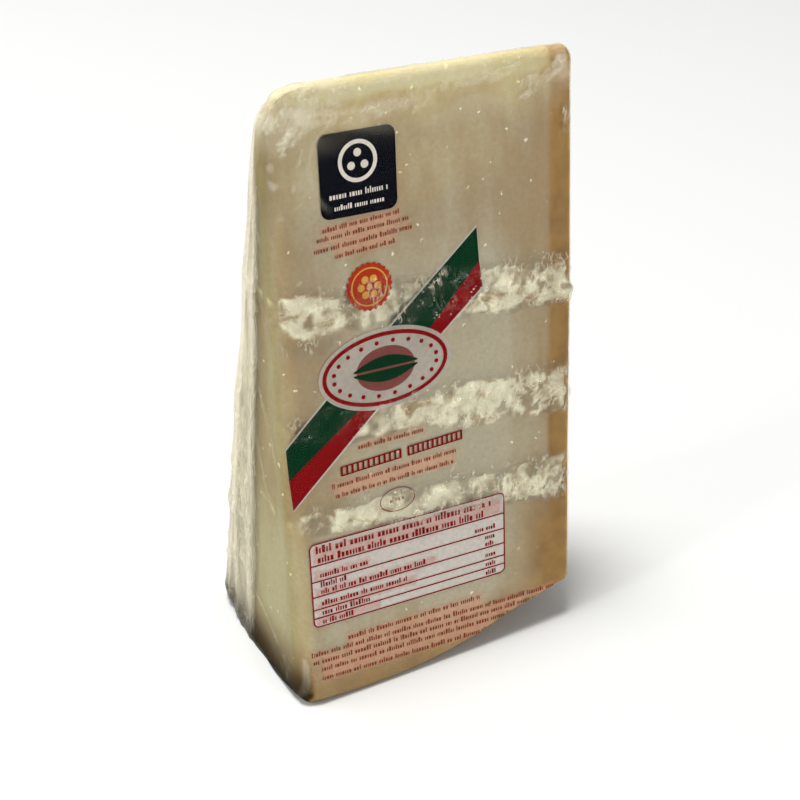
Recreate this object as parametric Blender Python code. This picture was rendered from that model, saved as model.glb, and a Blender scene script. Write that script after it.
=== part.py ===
# A wedge of hard cheese, half the height of its wheel, sealed tight in a clear bag.
# It stands on the wheel's rounded rind with the thin tip up, and leans a little to the right.
# The solid is the outer form of the bag: what the film touches is what is modelled.
#
# Wheel frame: +X runs from the cut at the wheel's mid height to its flat rind face,
# -Y is the front cut face, +Z runs from the rind to the tip.
# The origin is on the flat spot that the wedge rests on, under its middle.

import math

import bmesh
import bpy
from mathutils import Matrix, Vector, noise

MM = 0.001

# The wheel and the cut
TIP_HEIGHT = 212 * MM            # rind to tip, close to the wheel's radius
WEDGE_WIDTH = 107.5 * MM         # half the wheel's height
BASE_DEPTH = 71.3 * MM           # chord from cut face to cut face at the rind
TIP_THICKNESS = 5 * MM           # the tip is worn blunt
LEAN = math.radians(2.24)        # how far it settles over towards the rind face
FLOOR_LEVEL = 1.5 * MM           # where the floor cuts the leaning wedge, giving its flat spot

# The rind under the wedge: barrel shaped along X and round along Y
BARREL_RADIUS = 205 * MM
BARREL_MIDDLE = -35 * MM         # X of the barrel's lowest line
BARREL_BASE = 0.5 * MM           # height of that line along the cut faces
RIND_SAG = 3.4 * MM              # how much lower the rind is midway between the cut faces
SHOULDER_RISE = 1.9 * MM         # fuller stretch where the barrel turns to the flat rind face
SHOULDER_PLACE = 31 * MM
SHOULDER_LENGTH = 15 * MM
RIND_REACH = 45 * MM             # height by which the lattice is level again

# Edge radii
FRONT_LEFT_RADIUS = 8 * MM
BACK_LEFT_RADIUS = 3 * MM
RIGHT_RADIUS = 2.5 * MM
TOP_LEFT_RADIUS = 14 * MM
TOP_RIGHT_RADIUS = 5 * MM
BOTTOM_LEFT_RADIUS = 5 * MM
BOTTOM_RIGHT_RADIUS = 4 * MM
RIND_EDGE_RADIUS = 3 * MM
TIP_RADIUS = 2.3 * MM

# Torn bands across both cut faces: height at mid width, half height on the left and the right
BANDS = (
    (137.5 * MM, 7.5 * MM, 9.0 * MM),
    (98.5 * MM, 6.0 * MM, 9.0 * MM),
    (65.5 * MM, 5.0 * MM, 9.5 * MM),
)
BAND_SLANT = -0.07               # the bands drop towards the right
SLANT_LOW = 30 * MM              # the slant fades in from here
SLANT_HIGH = 178 * MM            # and is gone here
CRAG_HEIGHT = 2.2 * MM           # a lump above the cut face, before its flakes
CRAG_SIZE = 8 * MM
FLAKE_SIZE = 4.2 * MM
RAGGED_SHARE = 0.35              # how much a band's edges wander, as a share of its half height
RAGGED_SIZE = 11 * MM
PATCH_SIZE = 24 * MM             # smoother and rougher patches along a band
LEFT_STRENGTH = 0.45             # the bands are weaker towards the wheel's mid height
SIDE_STRENGTH = 0.35             # and only ripple the film on the left side

# Unevenness of the cut faces and the film
WAVE_HEIGHT = 0.45 * MM
WAVE_SIZE = 34 * MM
PUCKER_HEIGHT = 0.5 * MM
PUCKER_SIZE = 9 * MM

# The bag: its spare film lies folded flat on the left side and round onto the back
FOLD_PLACE = 0.2                 # edge of the fold, as a share of the side's half depth
FOLD_HEIGHT = 0.8 * MM
FOLD_FADE = 170 * MM             # the fold gets thinner from here
FOLD_TOP = 200 * MM              # and runs out here
BACK_FOLD_PLACE = -22 * MM       # where the same fold ends on the back
LIP_REACH = 3.0 * MM             # the film's loose lip along the left foot
LIP_HEIGHT = 9 * MM
FACES_LEFT = 0.3                 # least share of a normal along -X that counts as the left side

# Lattice steps
BAND_STEP = 2.6 * MM
PLAIN_STEP = 7.5 * MM
COLUMN_STEP = 2.75 * MM
SIDE_SHARES = (-1.0, -0.72, -0.42, -0.12, 0.12, 0.26, 0.62, 1.0)   # close at the fold's edge
SHARP_ANGLE = math.radians(40)


def half_depth(z):
    """Half the distance between the cut faces at height z."""
    slope = (BASE_DEPTH - TIP_THICKNESS) / 2 / TIP_HEIGHT
    return TIP_THICKNESS / 2 + (TIP_HEIGHT - z) * slope


def smooth(low, high, value):
    """0 below low, 1 above high, and an even curve between."""
    share = min(max((value - low) / (high - low), 0.0), 1.0)
    return share * share * (3 - 2 * share)


def spaced(start, end, step):
    """Even steps from start up to, and without, end."""
    count = max(1, round((end - start) / step))
    return [start + (end - start) * i / count for i in range(count)]


def level_heights():
    """Heights of the lattice levels: close together in the torn bands, wide elsewhere."""
    levels = [0.0, RIND_EDGE_RADIUS / 2]
    below = RIND_EDGE_RADIUS
    for middle, _, half in reversed(BANDS):
        levels += spaced(below, middle - half, PLAIN_STEP)
        levels += spaced(middle - half, middle + half, BAND_STEP)
        below = middle + half
    levels += spaced(below, TIP_HEIGHT - TIP_RADIUS, PLAIN_STEP)
    levels += [TIP_HEIGHT - TIP_RADIUS, TIP_HEIGHT]
    return levels


def column_places():
    """X of the lattice columns, with one closer pair at each side's rounded edge."""
    half = WEDGE_WIDTH / 2
    inner = half - RIGHT_RADIUS / 2
    return [-half] + spaced(-inner, inner, COLUMN_STEP) + [inner, half]


def soften(inset_a, inset_b, radius):
    """Round the edge between two faces, for a point given by its distance in from each."""
    reach_a = radius - inset_a
    reach_b = radius - inset_b
    if reach_a <= 0 or reach_b <= 0:
        return inset_a, inset_b
    share = max(reach_a, reach_b) / math.hypot(reach_a, reach_b)
    return radius - reach_a * share, radius - reach_b * share


def rounded_point(x, share, z):
    """A lattice point, with the block's edges rounded. share runs -1 to 1 across the depth."""
    half_width = WEDGE_WIDTH / 2
    side = -1 if x < 0 else 1
    face = -1 if share < 0 else 1
    half = half_depth(z)
    from_side = half_width - side * x
    from_face = half * (1 - abs(share))

    upright = RIGHT_RADIUS
    if side < 0:
        upright = FRONT_LEFT_RADIUS if face < 0 else BACK_LEFT_RADIUS
    from_side, from_face = soften(from_side, from_face, min(upright, half * 0.95))

    corner = TOP_LEFT_RADIUS if side < 0 else TOP_RIGHT_RADIUS
    from_side, from_top = soften(from_side, TIP_HEIGHT - z, corner)
    corner = BOTTOM_LEFT_RADIUS if side < 0 else BOTTOM_RIGHT_RADIUS
    from_side, from_base = soften(from_side, TIP_HEIGHT - from_top, corner)

    from_face, from_top = soften(from_face, TIP_HEIGHT - from_base, TIP_RADIUS)
    from_face, from_base = soften(from_face, TIP_HEIGHT - from_top, RIND_EDGE_RADIUS)

    return Vector((side * (half_width - from_side), face * (half - from_face), from_base))


def rind_height(x, y):
    """Height of the rind under the wedge."""
    barrel = BARREL_BASE + (x - BARREL_MIDDLE) ** 2 / (2 * BARREL_RADIUS)
    shoulder = SHOULDER_RISE * math.exp(-(((x - SHOULDER_PLACE) / SHOULDER_LENGTH) ** 2))
    sag = RIND_SAG * (1 - (2 * y / BASE_DEPTH) ** 2)
    return barrel + shoulder - sag


def slant(x, z):
    """How far the lattice drops or climbs at x, so that its levels follow the torn bands."""
    window = smooth(SLANT_LOW, BANDS[-1][0] - BANDS[-1][2], z)
    window *= 1 - smooth(BANDS[0][0] + BANDS[0][2], SLANT_HIGH, z)
    return BAND_SLANT * x * window


def torn(x, z):
    """How torn the cut face is at a point, from 0 to 1. z is measured before the slant."""
    across = (x + WEDGE_WIDTH / 2) / WEDGE_WIDTH
    most = 0.0
    for middle, half_left, half_right in BANDS:
        half = half_left + (half_right - half_left) * across
        wander = noise.noise(Vector((x / RAGGED_SIZE, middle / MM, 0)))
        ragged = half * (1 + RAGGED_SHARE * wander)
        most = max(most, 1 - smooth(ragged / 2, ragged, abs(z - middle)))
    patch = noise.noise(Vector((x / PATCH_SIZE, z / PATCH_SIZE, 0)))
    strength = LEFT_STRENGTH + (1 - LEFT_STRENGTH) * across
    return most * strength * (1 + patch / 3)


def crag(place):
    """Torn cheese: lumps with sharp flakes on them, between about -1 and 1.5."""
    lump = noise.noise(place / CRAG_SIZE)
    flake = 1 - 2 * abs(noise.noise(place / FLAKE_SIZE))
    return lump + flake / 2


def relief(point, normal, flat_z):
    """Height of the surface above the smooth form, along its normal."""
    on_cut = smooth(0.45, 0.8, abs(normal.y))
    on_left = smooth(0.5, 0.8, -normal.x)
    height = WAVE_HEIGHT * noise.noise(point / WAVE_SIZE)
    torn_here = torn(point.x, flat_z) * max(on_cut, SIDE_STRENGTH * on_left)
    height += CRAG_HEIGHT * crag(point) * torn_here

    pucker = noise.noise(Vector((point.x, point.y, point.z / 2)) / PUCKER_SIZE)
    height += PUCKER_HEIGHT * on_left * pucker

    fold = FOLD_HEIGHT * (1 - smooth(FOLD_FADE, FOLD_TOP, point.z))
    if on_left > 0 and point.y > FOLD_PLACE * half_depth(point.z):
        height += fold
    if normal.y > 0 and point.x < BACK_FOLD_PLACE:
        height += fold * smooth(0, COLUMN_STEP, BACK_FOLD_PLACE - point.x) * on_cut
    return height


def loose_lip(point, normal):
    """Outward reach of the film's lip along the foot of the left side."""
    if normal.x > -FACES_LEFT:
        return 0.0
    along = max(0.0, 1 - (2 * point.y / BASE_DEPTH) ** 2)
    return LIP_REACH * along * (1 - smooth(0, LIP_HEIGHT, point.z + RIND_SAG * along))


def lattice_faces(columns, rows, levels):
    """The four corners of each cell on the six sides of a block, as lattice indices."""
    last = (len(columns) - 1, len(rows) - 1, len(levels) - 1)
    for fixed in range(3):
        first_way, second_way = [axis for axis in range(3) if axis != fixed]
        for end in (0, last[fixed]):
            for a in range(last[first_way]):
                for b in range(last[second_way]):
                    corners = []
                    for step_a, step_b in ((0, 0), (1, 0), (1, 1), (0, 1)):
                        index = [0, 0, 0]
                        index[fixed] = end
                        index[first_way] = a + step_a
                        index[second_way] = b + step_b
                        corners.append(tuple(index))
                    yield corners


def smooth_block():
    """The wedge without relief, as a bmesh, and each vertex's height before it was bent."""
    columns, rows, levels = column_places(), SIDE_SHARES, level_heights()
    mesh = bmesh.new()
    flat_height = mesh.verts.layers.float.new("flat_height")
    made = {}
    for corners in lattice_faces(columns, rows, levels):
        for index in corners:
            if index in made:
                continue
            i, j, k = index
            point = rounded_point(columns[i], rows[j], levels[k])
            made[index] = mesh.verts.new(point)
            made[index][flat_height] = point.z
        mesh.faces.new([made[index] for index in corners])
    for vertex in mesh.verts:
        x, y, z = vertex.co
        settle = rind_height(x, y) * max(0.0, 1 - z / RIND_REACH)
        height = z + settle + slant(x, z)
        vertex.co = (x, y * half_depth(height) / half_depth(z), height)
    bmesh.ops.recalc_face_normals(mesh, faces=mesh.faces)
    mesh.normal_update()
    return mesh, flat_height


def film_material():
    """Pale cheese seen through clear film."""
    material = bpy.data.materials.new("cheese_in_film")
    material.use_nodes = True
    shader = material.node_tree.nodes["Principled BSDF"]
    shader.inputs["Base Color"].default_value = (0.47, 0.41, 0.27, 1)
    shader.inputs["Roughness"].default_value = 0.25
    shader.inputs["Metallic"].default_value = 0.0
    return material


def sealed_wedge():
    """The sealed wedge as one solid, leaning on its flat spot."""
    mesh, flat_height = smooth_block()
    moves = []
    for vertex in mesh.verts:
        normal = vertex.normal.copy()
        height = relief(vertex.co, normal, vertex[flat_height])
        moves.append(normal * height + Vector((-loose_lip(vertex.co, normal), 0, 0)))
    for vertex, move in zip(mesh.verts, moves):
        vertex.co += move

    lean = Matrix.Translation((0, 0, -FLOOR_LEVEL)) @ Matrix.Rotation(LEAN, 4, "Y")
    mesh.transform(lean)
    for vertex in mesh.verts:
        vertex.co.z = max(vertex.co.z, 0.0)
    bmesh.ops.triangulate(mesh, faces=mesh.faces)
    bmesh.ops.recalc_face_normals(mesh, faces=mesh.faces)

    data = bpy.data.meshes.new("sealed_wedge")
    mesh.to_mesh(data)
    mesh.free()
    data.shade_smooth()
    data.set_sharp_from_angle(angle=SHARP_ANGLE)
    data.materials.append(film_material())
    wedge = bpy.data.objects.new("sealed_wedge", data)
    bpy.context.scene.collection.objects.link(wedge)
    return wedge


for old in list(bpy.data.objects):
    bpy.data.objects.remove(old, do_unlink=True)
sealed_wedge()
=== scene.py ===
# A wedge of hard cheese sealed in a clear printed bag, on a plain pale floor.
import math
import random

import bmesh
import bpy
from mathutils import Matrix, Vector, noise
from mathutils.bvhtree import BVHTree
from mathutils.geometry import intersect_point_line


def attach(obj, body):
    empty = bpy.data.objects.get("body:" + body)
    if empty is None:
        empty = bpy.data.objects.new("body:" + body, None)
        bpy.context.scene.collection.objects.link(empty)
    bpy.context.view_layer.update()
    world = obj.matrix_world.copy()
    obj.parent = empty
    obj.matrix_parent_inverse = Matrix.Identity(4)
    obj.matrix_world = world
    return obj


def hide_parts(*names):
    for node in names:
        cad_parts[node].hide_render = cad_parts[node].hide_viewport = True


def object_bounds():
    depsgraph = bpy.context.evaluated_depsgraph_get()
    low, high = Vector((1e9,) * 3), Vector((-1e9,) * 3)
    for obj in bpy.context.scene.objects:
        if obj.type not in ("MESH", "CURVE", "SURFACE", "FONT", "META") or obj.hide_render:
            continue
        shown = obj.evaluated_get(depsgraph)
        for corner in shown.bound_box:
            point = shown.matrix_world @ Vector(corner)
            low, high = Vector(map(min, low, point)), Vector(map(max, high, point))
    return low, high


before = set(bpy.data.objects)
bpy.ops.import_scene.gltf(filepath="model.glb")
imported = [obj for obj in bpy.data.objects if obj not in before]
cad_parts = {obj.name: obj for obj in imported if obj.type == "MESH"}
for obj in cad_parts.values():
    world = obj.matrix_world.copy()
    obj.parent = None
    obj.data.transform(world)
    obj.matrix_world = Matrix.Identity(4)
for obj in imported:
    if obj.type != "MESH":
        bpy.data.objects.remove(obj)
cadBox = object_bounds()
mm = 0.001

# The wedge as it was cut, in millimetres, in the wheel's own frame before it leans
wedge = {
    "tipHeight": 212, "width": 107.5, "baseDepth": 71.3, "tipThickness": 5,
    "lean": 2.24, "floorLevel": 1.5,
    "barrelRadius": 205, "barrelMiddle": -35, "barrelBase": 0.5, "rindSag": 3.4,
    "shoulderRise": 1.9, "shoulderPlace": 31, "shoulderLength": 15, "rindReach": 45,
    "frontLeft": 8, "backLeft": 3, "right": 2.5, "topLeft": 14, "topRight": 5,
    "bottomLeft": 5, "bottomRight": 4, "rindEdge": 3, "tip": 2.3, "thinEdge": 0.95,
}
# The torn bands: height at mid width, half height at the left and at the right
bands = {
    "rows": ((137.5, 7.5, 9), (98.5, 6, 9), (65.5, 5, 9.5)),
    "slant": -0.07, "slantLow": 30, "slantHigh": 178,
    "cragHeight": 2.2, "cragSize": 8, "flakeSize": 4.2,
    "raggedShare": 0.35, "raggedSize": 11, "patchSize": 24, "patchShare": 0.33,
    "leftStrength": 0.45, "sideStrength": 0.35,
}
# The unevenness that film and cheese share
swell = {"height": 0.45, "size": 34}
# How finely the wedge's surface is laid out, and the (x, z) from which its top left corner is evened out
lattice = {
    "cell": 0.86, "rows": 40, "edgeSteps": (0, 0.3, 0.8, 1.5, 2.3, 3.2),
    "cornerFrom": (-37, 194), "cornerPasses": 24,
}

halfWidth = wedge["width"] / 2
leanTurn = Matrix.Rotation(math.radians(wedge["lean"]), 4, "Y")
toFloor = Matrix.Translation((0, 0, -wedge["floorLevel"] * mm)) @ leanTurn @ Matrix.Scale(mm, 4)


def smooth(low, high, value):  # 0 at low, 1 at high, eased; low may be the larger
    share = min(max((value - low) / (high - low), 0.0), 1.0)
    return share * share * (3 - 2 * share)


def ripple(point, size, turn=0.0):  # soft noise, about -1 to 1, in lumps of this size
    return noise.noise(Vector(point) / size + Vector((turn, turn * 1.7, turn * 0.6)))


def crest(point, size, turn=0.0):  # narrow crests at 1, falling away below 0
    return 1 - 3.2 * abs(ripple(point, size, turn))


def chunks(point, size):  # 0 in the cracks between crumbs, 1 on the crumbs
    near = noise.voronoi(Vector(point) / size)[0]
    return min(1.0, 1.7 * (near[1] - near[0]))


def halfDepth(z):
    slope = (wedge["baseDepth"] - wedge["tipThickness"]) / 2 / wedge["tipHeight"]
    return wedge["tipThickness"] / 2 + (wedge["tipHeight"] - z) * slope


def soften(insetA, insetB, radius):  # rounds the edge between two faces
    reachA, reachB = radius - insetA, radius - insetB
    if reachA <= 0 or reachB <= 0:
        return insetA, insetB
    share = max(reachA, reachB) / math.hypot(reachA, reachB)
    return radius - reachA * share, radius - reachB * share


def roundedPoint(x, share, z):  # share runs -1 to 1 from the front cut face to the back one
    top = wedge["tipHeight"]
    side = -1 if x < 0 else 1
    face = -1 if share < 0 else 1
    half = halfDepth(z)
    fromSide = halfWidth - side * x
    fromFace = half * (1 - abs(share))
    upright = wedge["right"] if side > 0 else wedge["frontLeft"] if face < 0 else wedge["backLeft"]
    fromSide, fromFace = soften(fromSide, fromFace, min(upright, half * wedge["thinEdge"]))
    fromSide, fromTop = soften(fromSide, top - z, wedge["topLeft"] if side < 0 else wedge["topRight"])
    corner = wedge["bottomLeft"] if side < 0 else wedge["bottomRight"]
    fromSide, fromBase = soften(fromSide, top - fromTop, corner)
    fromFace, fromTop = soften(fromFace, top - fromBase, wedge["tip"])
    fromFace, fromBase = soften(fromFace, top - fromTop, wedge["rindEdge"])
    return side * (halfWidth - fromSide), face * (half - fromFace), fromBase


def rindHeight(x, y):  # the barrel-shaped rind under the wedge
    barrel = wedge["barrelBase"] + (x - wedge["barrelMiddle"]) ** 2 / (2 * wedge["barrelRadius"])
    shoulder = math.exp(-(((x - wedge["shoulderPlace"]) / wedge["shoulderLength"]) ** 2))
    sag = wedge["rindSag"] * (1 - (2 * y / wedge["baseDepth"]) ** 2)
    return barrel + wedge["shoulderRise"] * shoulder - sag


def settled(x, y, z):  # bends the straight block down onto its rind and along the torn bands
    window = smooth(bands["slantLow"], bands["rows"][-1][0] - bands["rows"][-1][2], z)
    window *= 1 - smooth(bands["rows"][0][0] + bands["rows"][0][2], bands["slantHigh"], z)
    height = z + rindHeight(x, y) * max(0.0, 1 - z / wedge["rindReach"]) + bands["slant"] * x * window
    return Vector((x, y * halfDepth(height) / halfDepth(z), height))


def torn(x, z):  # 0 on the clean cut, towards 1 in a torn band
    across = (x + halfWidth) / wedge["width"]
    most = 0.0
    for middle, halfLeft, halfRight in bands["rows"]:
        half = halfLeft + (halfRight - halfLeft) * across
        wander = noise.noise(Vector((x / bands["raggedSize"], middle, 0)))
        ragged = half * (1 + bands["raggedShare"] * wander)
        most = max(most, 1 - smooth(ragged / 2, ragged, abs(z - middle)))
    patch = noise.noise(Vector((x / bands["patchSize"], z / bands["patchSize"], 0)))
    strength = bands["leftStrength"] + (1 - bands["leftStrength"]) * across
    return min(1.0, most * strength * (1 + patch * bands["patchShare"]))


def sharedRelief(point, normal, flatZ):  # what film and cheese do together, and where
    onCut = smooth(0.4, 0.95, abs(normal.y))
    onLeft = smooth(0.5, 0.8, -normal.x)
    tornHere = torn(point.x, flatZ) * max(onCut, bands["sideStrength"] * onLeft)
    crag = ripple(point, bands["cragSize"]) + 0.5 - abs(ripple(point, bands["flakeSize"]))
    height = swell["height"] * ripple(point, swell["size"]) + bands["cragHeight"] * crag * tornHere
    return height, tornHere, onCut, onLeft


def latticeLines():
    top, cell, edges = wedge["tipHeight"], lattice["cell"], lattice["edgeSteps"]
    inner = halfWidth - edges[-1]
    count = round(2 * inner / cell)
    columns = [step - halfWidth for step in edges[:-1]]
    columns += [-inner + 2 * inner * i / count for i in range(count + 1)]
    columns += [halfWidth - step for step in reversed(edges[:-1])]
    rows = lattice["rows"]
    shares = [math.sin(math.pi / 2 * (2 * i / rows - 1)) for i in range(rows + 1)]
    count = round((top - 2 * edges[-1]) / cell)
    levels = list(edges[:-1])
    levels += [edges[-1] + (top - 2 * edges[-1]) * i / count for i in range(count + 1)]
    levels += [top - step for step in reversed(edges[:-1])]
    return columns, shares, levels


def fineBlock():  # the smooth wedge as a fine mesh, with each point's height before it was bent
    columns, shares, levels = latticeLines()
    mesh = bmesh.new()
    flatZ = mesh.verts.layers.float.new("flatZ")
    last = (len(columns) - 1, len(shares) - 1, len(levels) - 1)
    made = {}

    def vertexAt(index):
        if index not in made:
            x, y, z = roundedPoint(columns[index[0]], shares[index[1]], levels[index[2]])
            made[index] = mesh.verts.new(settled(x, y, z))
            made[index][flatZ] = z
        return made[index]

    for fixed in range(3):
        wayA, wayB = [axis for axis in range(3) if axis != fixed]
        for end in (0, last[fixed]):
            for a in range(last[wayA]):
                for b in range(last[wayB]):
                    corners = []
                    for stepA, stepB in ((0, 0), (1, 0), (1, 1), (0, 1)):
                        index = [0, 0, 0]
                        index[fixed], index[wayA], index[wayB] = end, a + stepA, b + stepB
                        corners.append(vertexAt(tuple(index)))
                    mesh.faces.new(corners)
    cornerX, cornerZ = lattice["cornerFrom"]
    corner = [vertex for vertex in mesh.verts if vertex.co.x < cornerX and vertex.co.z > cornerZ]
    for _ in range(lattice["cornerPasses"]):
        bmesh.ops.smooth_vert(mesh, verts=corner, factor=0.5,
                              use_axis_x=True, use_axis_y=True, use_axis_z=True)
    bmesh.ops.recalc_face_normals(mesh, faces=mesh.faces)
    mesh.normal_update()
    return mesh, flatZ


def newLayers(mesh, names):  # room for one value at each point, under each name
    return [mesh.verts.layers.float.new(name) for name in names]


def keepInside(mesh, gap):  # nothing goes through the floor or out of the solid's box
    low = [cadBox[0][axis] / mm + gap for axis in range(3)]
    high = [cadBox[1][axis] / mm - gap for axis in range(3)]
    stand = Matrix.Scale(1 / mm, 4) @ toFloor
    back = stand.inverted()
    for vertex in mesh.verts:
        place = stand @ vertex.co
        held = Vector(min(max(place[axis], low[axis]), high[axis]) for axis in range(3))
        if held != place:
            vertex.co = back @ held


def linear(code):  # sRGB hex to Blender's linear colour
    parts = [int(code[i:i + 2], 16) / 255 for i in (1, 3, 5)]
    return [p / 12.92 if p <= 0.04045 else ((p + 0.055) / 1.055) ** 2.4 for p in parts] + [1.0]


def perMetre(size):  # pattern scale for a real size in millimetres
    return 1 / (size * mm)


def addNode(tree, kind, values=None, links=None, stops=None, **settings):
    node = tree.nodes.new("ShaderNode" + kind)
    for name, value in settings.items():
        setattr(node, name, value)
    for name, value in (values or {}).items():
        node.inputs[name].default_value = value
    for name, source in (links or {}).items():  # a node stands for the first output it has in use
        if isinstance(source, bpy.types.Node):
            source = next(output for output in source.outputs if output.enabled)
        tree.links.new(source, node.inputs[name])
    if stops:
        ramp = node.color_ramp
        while len(ramp.elements) < len(stops):
            ramp.elements.new(0.5)
        for element, (place, colour) in zip(ramp.elements, stops):
            element.position = place
            element.color = linear(colour)
    return node


def newMaterial(name):
    material = bpy.data.materials.new(name)
    material.use_nodes = True
    tree = material.node_tree
    tree.nodes.clear()
    return material, tree, addNode(tree, "TexCoord").outputs["Object"]


def addPiece(name, mesh, material):  # a mesh in the wheel's frame becomes a piece
    mesh.transform(toFloor)
    data = bpy.data.meshes.new(name)
    mesh.to_mesh(data)
    mesh.free()
    data.shade_smooth()
    data.materials.append(material)
    piece = bpy.data.objects.new(name, data)
    bpy.context.scene.collection.objects.link(piece)
    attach(piece, "root")
    return piece


# The studio
studio = {
    "floor": "#d6d6d3", "floorReach": 3, "toothSize": 3, "toothDepth": 0.1,
    "world": "#f1f4f8", "worldPower": 0.36, "lightsAimAt": (0, 0, 0.1),
    "cameraPlace": (-214.3, -419.9, 401.4), "azimuth": -27.2, "elevation": 33.36, "lens": 74.6,
    "lights": {  # place in metres, power in watts, width in metres
        "keyLight": ((-0.25, 0.2, 2.4), 62.0, 0.7),
        "fillLight": ((0.2, -1.3, 0.6), 1.0, 0.8),
        "windowLight": ((0.45, -1.1, 0.36), 3.4, 0.2),
        "sideLight": ((-0.95, -0.1, 0.75), 2.2, 0.14),
        "backLight": ((-0.75, 0.95, 0.4), 3.0, 0.2),
    },
}


def addLight(name, place, power, width):
    light = bpy.data.lights.new(name, "AREA")
    light.energy, light.size = power, width
    lamp = bpy.data.objects.new(name, light)
    lamp.location = place
    aim = Vector(studio["lightsAimAt"]) - Vector(place)
    lamp.rotation_euler = aim.to_track_quat("-Z", "Y").to_euler()
    bpy.context.scene.collection.objects.link(lamp)


def mattStudioPaper():  # matt paper backdrop: even and pale, with a faint tooth
    material, tree, place = newMaterial("mattStudioPaper")
    tooth = addNode(tree, "TexNoise", {"Scale": perMetre(studio["toothSize"]), "Detail": 3},
                    {"Vector": place})
    bump = addNode(tree, "Bump", {"Strength": 0.05, "Distance": studio["toothDepth"] * mm},
                   {"Height": tooth})
    shader = addNode(tree, "BsdfPrincipled", {"Base Color": linear(studio["floor"]), "Roughness": 0.85},
                     {"Normal": bump})
    addNode(tree, "OutputMaterial", links={"Surface": shader})
    return material


def makeStudio():
    scene = bpy.context.scene
    scene.view_settings.view_transform = "Standard"
    world = bpy.data.worlds.new("studioWorld")
    world.use_nodes = True
    world.node_tree.nodes["Background"].inputs["Color"].default_value = linear(studio["world"])
    world.node_tree.nodes["Background"].inputs["Strength"].default_value = studio["worldPower"]
    scene.world = world
    for name, settings in studio["lights"].items():
        addLight(name, *settings)
    mesh = bmesh.new()
    bmesh.ops.create_grid(mesh, x_segments=2, y_segments=2, size=studio["floorReach"])
    data = bpy.data.meshes.new("floor")
    mesh.to_mesh(data)
    mesh.free()
    data.materials.append(mattStudioPaper())
    floor = bpy.data.objects.new("floor", data)
    scene.collection.objects.link(floor)
    camera = bpy.data.objects.new("camera", bpy.data.cameras.new("camera"))
    camera.data.lens = studio["lens"]
    camera.data.clip_start, camera.data.clip_end = 0.01, 20
    camera.location = Vector(studio["cameraPlace"]) * mm
    camera.rotation_euler = (math.radians(90 - studio["elevation"]), 0, math.radians(studio["azimuth"]))
    scene.collection.objects.link(camera)
    scene.camera = camera


# The cheese
cheeseLook = {
    "paste": "#b6ae9a", "pasteDeep": "#a59173", "tornPale": "#fffbe4", "tornDeep": "#b19b76",
    # The last colour on the next line is a lift that brightens the colour where glow and highlight are
    # painted
    "rind": "#9a7538", "rindDark": "#84602c", "crystal": "#f8f3e2", "paintedGlowLift": (1.5, 1.5, 1.14, 1),
    # An olive-yellow tint for painted shade on the left face
    "shadedSideTint": (0.98, 1, 0.72, 1),
    # How far the rind's colour reaches into the cut, and how far it fades out
    "rindWidth": 8, "rindFade": 2.8, "rindBlush": 30, "blushLow": 0.1, "blushHigh": 0.22,
    "footWidth": 2, "footFade": 19, "footShare": 0.7, "stainWidth": 33, "stainHeight": 80,
    "gap": 0.35, "lipFill": 0.7, "chunkDepth": 1.6, "chunkSize": 9, "gritDepth": 0.22, "gritSize": 1.9,
    "crumbSize": 2.4, "crumbDepth": 0.75, "cutMark": 0.06, "cutMarkSize": 2.6, "cutMarkLength": 12,
    "mottle": 16, "grain": 1.6, "grainDepth": 0.12, "lumpSize": 7.5, "rindPatch": 9,
    "crystalSpacing": 6, "wobbleSize": 1.5, "wobbleReach": 2,
    "roughness": 0.5, "ior": 1.45, "glow": 0.15, "glowDepth": 2,
    # How white each torn band is, as (x, share) from left to right
    "paleAlong": (
        ((-54, 0.9), (-30, 1), (-8, 0.6), (8, 0.7), (22, 1.2), (46, 1.1), (54, 0.8)),
        ((-54, 0.35), (-14, 0.4), (-4, 1.1), (24, 1.2), (46, 0.95), (54, 0.75)),
        ((-54, 0.8), (-10, 0.75), (12, 0.7), (22, 1.2), (40, 1.1), (54, 0.75)),
    ),
}


def rindShare(point):  # 1 at the rind, 0 in the paste
    look = cheeseLook
    width = look["rindWidth"]
    wander = 0.6 * ripple(point, 14, 3.1)
    fromRind = halfWidth - point.x
    fromFoot = point.z - rindHeight(point.x, point.y)
    flat = 1 - smooth(width, width + look["rindFade"], fromRind + wander)
    foot = 1 - smooth(look["footWidth"], look["footFade"], fromFoot + 4 * wander)
    stain = 1 - smooth(width, look["stainWidth"], fromRind + 2 * wander)
    stain *= 1 - smooth(20, look["stainHeight"], fromFoot)
    blush = look["blushLow"] + (look["blushHigh"] - look["blushLow"]) * smooth(120, 150, point.z)
    blush *= smooth(look["rindBlush"], width, fromRind)
    return max(flat, look["footShare"] * foot, stain, blush, 1 - smooth(0.5, 2.5, fromFoot))


def paintedGlowShare(point, normal, flatZ):  # 1 where glow and highlight are painted into the colour: light through the thin tip and the upper left, the rounded corners, and the lighter right edge and face, partly the rind's golden rim
    level = flatZ + 5 * ripple(point, 16, 4.4)
    upper = 0.3 * smooth(168, 186, level) * (1 - smooth(15, 40, point.x))
    # the right edge and face lighter: partly the rind's golden rim, partly painted highlight
    crustAndHighlight = smooth(0.15, 0.5, normal.x) * smooth(0.1, 0.4, -normal.y)
    crustAndHighlight *= 0.85 + 0.5 * ripple(point, 3.5, 5.7)
    crustAndHighlight = max(crustAndHighlight, 0.35 * smooth(0.5, 0.9, normal.x))
    corner = min(1.0, 4 * (normal.x * normal.y) ** 2) * (0.35 + 0.25 * smooth(170, 50, point.z))
    return max(smooth(186, 208, level), upper, corner, crustAndHighlight)


def freshShare(point):  # 1 in the pale middle of the cut, 0 where it has dried and yellowed
    share = smooth(-48, 0, point.x) * (1 - 0.75 * smooth(16, 46, point.x)) * (1 - smooth(136, 168, point.z))
    share = max(share, 0.85 * smooth(-10, -40, point.x) * (1 - smooth(50, 80, point.z)))
    return max(share * smooth(12, 28, point.z), smooth(204, 209, point.z))


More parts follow.
